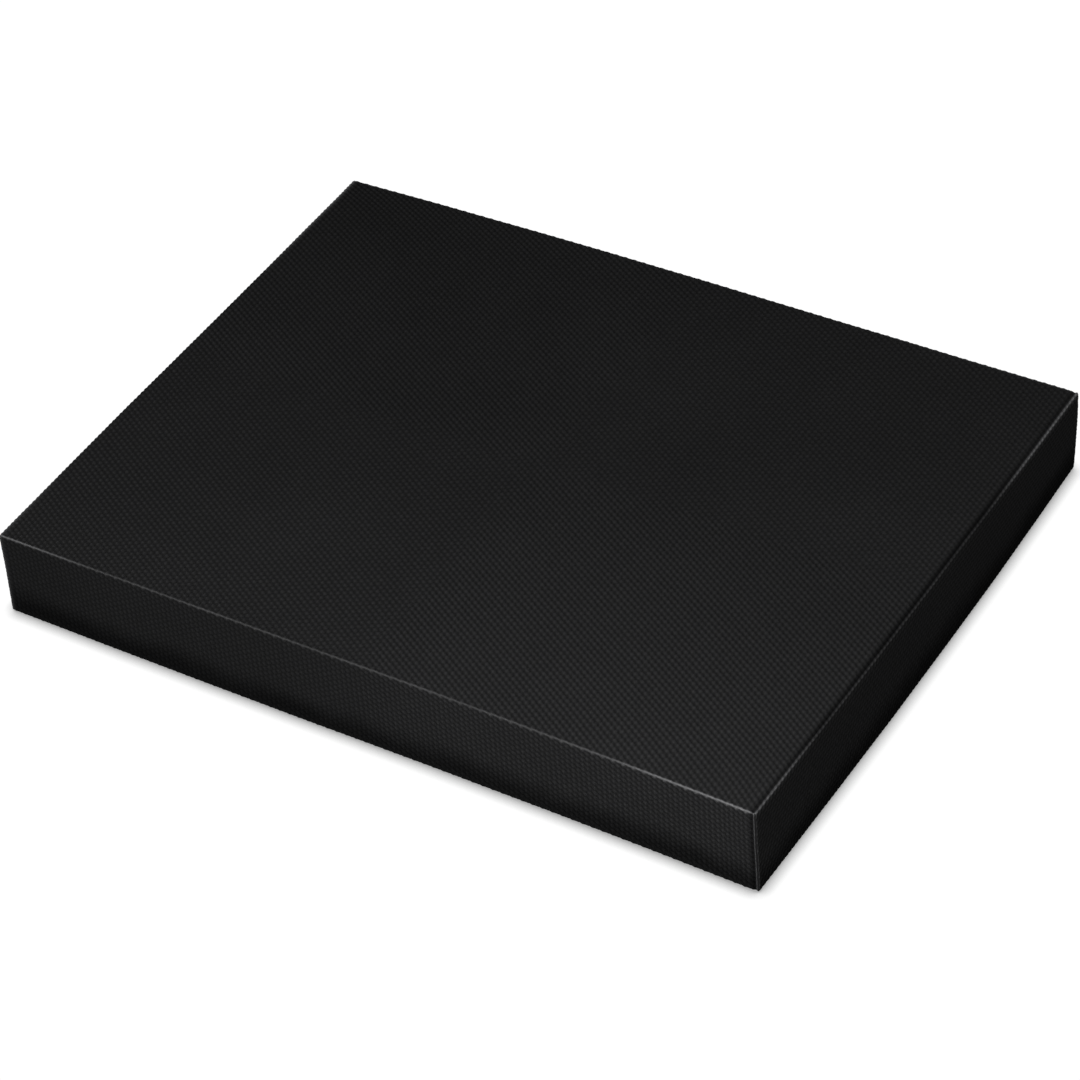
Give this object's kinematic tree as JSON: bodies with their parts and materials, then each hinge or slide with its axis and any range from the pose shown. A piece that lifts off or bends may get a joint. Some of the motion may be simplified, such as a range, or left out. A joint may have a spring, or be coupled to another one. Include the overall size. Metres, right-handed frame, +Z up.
{
  "type": "balance pad",
  "caption": "Firm rectangular foam balance pad wrapped in a black sheet embossed with small grip pips, its flaps folded down and turned under.",
  "frame": {"origin": "on the floor, under the middle of the pad", "axes": "+X along the pad's length, +Y along its width towards the back, +Z up"},
  "size_m": [0.5, 0.39, 0.06],
  "materials": {
    "embossed_sheet": "matte black embossed elastomer foam sheet with a faint sheen on the pips",
    "weld_bead": "smooth satin black weld bead",
    "core_foam": "matte dark grey closed-cell foam with a cut, pored surface",
    "bond_film": "milky hot-melt film, satin"
  },
  "bodies": {
    "root": {"cover_sheet": "embossed_sheet", "corner_welds": "weld_bead", "base_panel": "embossed_sheet", "core_slab_top": "core_foam", "core_slab_middle": "core_foam", "core_slab_bottom": "core_foam", "bond_film_upper": "bond_film", "bond_film_lower": "bond_film", "cover_bond_film": "bond_film", "base_bond_film": "bond_film"}
  },
  "joints": []
}
